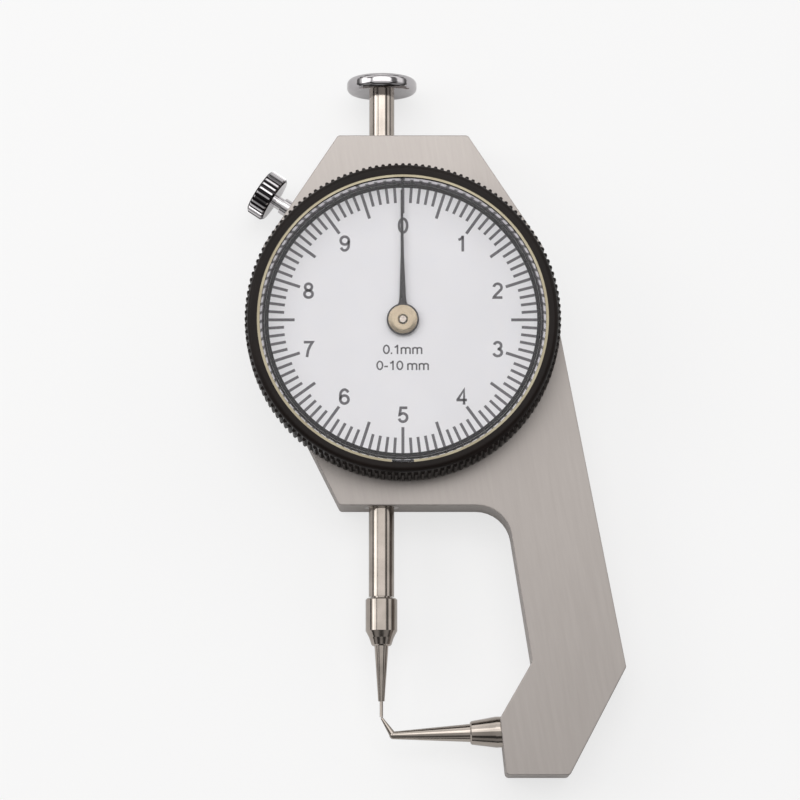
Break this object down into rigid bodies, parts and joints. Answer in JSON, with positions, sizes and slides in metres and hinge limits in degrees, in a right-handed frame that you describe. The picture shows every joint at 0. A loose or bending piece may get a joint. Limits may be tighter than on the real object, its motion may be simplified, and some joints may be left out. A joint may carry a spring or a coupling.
{
  "type": "dial thickness gauge",
  "caption": "Pocket dial thickness gauge: C-shaped brushed frame, ridged black bezel, sprung spindle with lift cap, pointed contact and bent needle anvil, knurled lock screw.",
  "frame": {"origin": "on the dial axis, in the plane of the flat back of the frame", "axes": "+Y up the spindle towards the lift cap, +X to the right seen from the dial, +Z out of the dial"},
  "size_m": [0.0567, 0.1061, 0.0167],
  "materials": {
    "frame_metal": "satin, brushed along the arm",
    "bezel_black": "satin black",
    "polished_steel": "ground and polished",
    "plated_steel": "bright plated",
    "brass": "turned",
    "spring_steel": "blued",
    "dial_white": "matt printed",
    "hand_grey": "satin",
    "crystal_clear": "clear"
  },
  "bodies": {
    "frame": {"frame": "frame_metal", "rear_cover": "frame_metal", "rear_cover_screws": "plated_steel", "upper_bush": "polished_steel", "lower_bush": "polished_steel", "rear_bridge": "brass", "rear_bridge_screws": "spring_steel", "bridge_pillars": "brass", "front_bridge": "brass", "front_bridge_screws": "spring_steel", "rear_arbor_bush": "brass", "front_arbor_bush": "brass", "hairspring": "spring_steel", "hairspring_stud": "brass", "spring_post": "spring_steel", "return_spring": "spring_steel", "anvil_holder": "polished_steel", "anvil_needle": "polished_steel"},
    "spindle": {"spindle": "polished_steel", "lift_cap": "plated_steel", "contact_point": "polished_steel", "guide_pin": "spring_steel", "spring_pin": "spring_steel"},
    "pointer": {"arbor_pinion": "polished_steel", "hairspring_collet": "brass", "pointer_hand": "hand_grey", "pointer_hub": "brass"},
    "bezel": {"bezel": "bezel_black", "bezel_snap_ring": "spring_steel", "dial_plate": "dial_white", "dial_spacer": "plated_steel", "crystal": "crystal_clear", "crystal_retaining_ring": "brass"},
    "lock_screw": {"lock_screw": "plated_steel"}
  },
  "joints": [
    {"name": "spindle_lift", "type": "slide", "parent": "frame", "child": "spindle", "axis": [0, 1, 0], "range_m": [0, 0.01], "stiffness_N_per_m": 50, "springref_m": -0.012, "deforming": ["return_spring"]},
    {"name": "pointer_turn", "type": "hinge", "parent": "frame", "child": "pointer", "pos_m": [0, 0, 0], "axis": [0, 0, 1], "range_deg": [-360, 0], "deforming": ["hairspring"]},
    {"name": "bezel_turn", "type": "hinge", "parent": "frame", "child": "bezel", "pos_m": [0, 0, 0], "axis": [0, 0, 1], "continuous": true},
    {"name": "lock_turn", "type": "hinge", "parent": "frame", "child": "lock_screw", "pos_m": [-0.01702, 0.0182, 0.0054], "axis": [-0.8336, 0.5524, 0], "range_deg": [-80, 360]}
  ],
  "couplings": [
    {"joint": "pointer_turn", "follows": "spindle_lift", "rad_per_m": -628.32}
  ]
}
